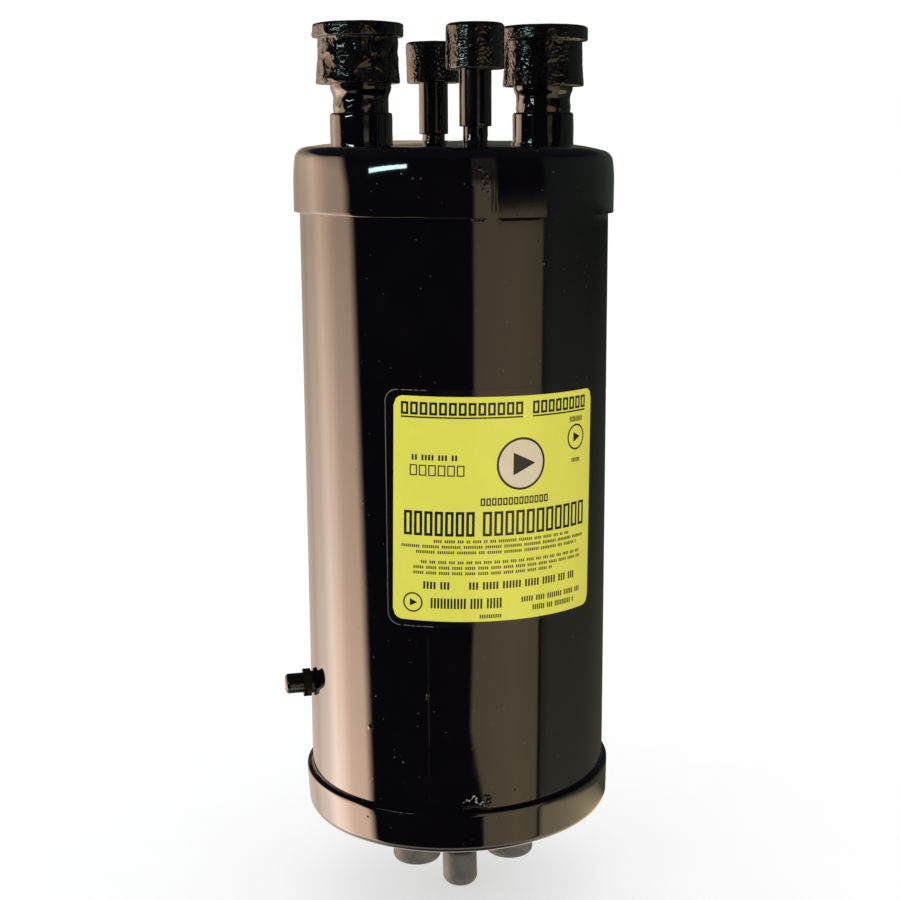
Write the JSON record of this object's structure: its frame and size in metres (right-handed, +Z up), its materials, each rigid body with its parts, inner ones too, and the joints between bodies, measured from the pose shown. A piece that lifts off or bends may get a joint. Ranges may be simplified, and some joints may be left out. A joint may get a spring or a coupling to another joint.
{
  "type": "suction line accumulator",
  "caption": "Upright black steel can with pressed heads, capped suction and liquid stubs on top, a side fusible plug, a wrapped label, and feet round a capped stud below.",
  "frame": {"origin": "on the vessel's axis, in the plane of the feet", "axes": "+Z up along the vessel, X along the suction ports with the outlet at +X, Y along the liquid ports with the label at -Y"},
  "size_m": [0.1411, 0.132, 0.3737],
  "materials": {
    "black_paint": "gloss",
    "rubber": "rough, paint clogged",
    "vinyl": "satin",
    "copper": "drawn copper",
    "brass": "plain",
    "steel": "plain",
    "solder": "cast",
    "label_film": "gloss film"
  },
  "bodies": {
    "vessel": {"shell": "black_paint", "top_head": "black_paint", "bottom_head": "black_paint", "top_braze_ring": "black_paint", "bottom_braze_ring": "black_paint", "inlet_collar": "black_paint", "outlet_collar": "black_paint", "suction_inlet_fitting": "black_paint", "suction_outlet_fitting": "black_paint", "liquid_inlet_fitting": "black_paint", "liquid_outlet_fitting": "black_paint", "inlet_drop_tube": "copper", "inlet_deflector": "steel", "u_tube": "copper", "oil_strainer": "brass", "liquid_coil": "copper", "plug_boss": "black_paint", "fusible_plug": "black_paint", "fusible_core": "solder", "data_label": "label_film", "mounting_stud": "black_paint", "foot_front_left": "black_paint", "foot_front_right": "black_paint", "foot_rear": "black_paint"},
    "inlet_cap": {"inlet_cap": "rubber"},
    "outlet_cap": {"outlet_cap": "rubber"},
    "liquid_inlet_cap": {"liquid_inlet_cap": "rubber"},
    "liquid_outlet_cap": {"liquid_outlet_cap": "rubber"},
    "stud_cap": {"stud_cap": "vinyl"}
  },
  "joints": [
    {"name": "inlet_cap_pull", "type": "slide", "parent": "vessel", "child": "inlet_cap", "axis": [0, 0, 1], "range_m": [0, 0.1]},
    {"name": "outlet_cap_pull", "type": "slide", "parent": "vessel", "child": "outlet_cap", "axis": [0, 0, 1], "range_m": [0, 0.1]},
    {"name": "liquid_inlet_cap_pull", "type": "slide", "parent": "vessel", "child": "liquid_inlet_cap", "axis": [0, 0, 1], "range_m": [0, 0.1]},
    {"name": "liquid_outlet_cap_pull", "type": "slide", "parent": "vessel", "child": "liquid_outlet_cap", "axis": [0, 0, 1], "range_m": [0, 0.1]},
    {"name": "stud_cap_pull", "type": "slide", "parent": "vessel", "child": "stud_cap", "axis": [0, 0, -1], "range_m": [0, 0.1]}
  ]
}
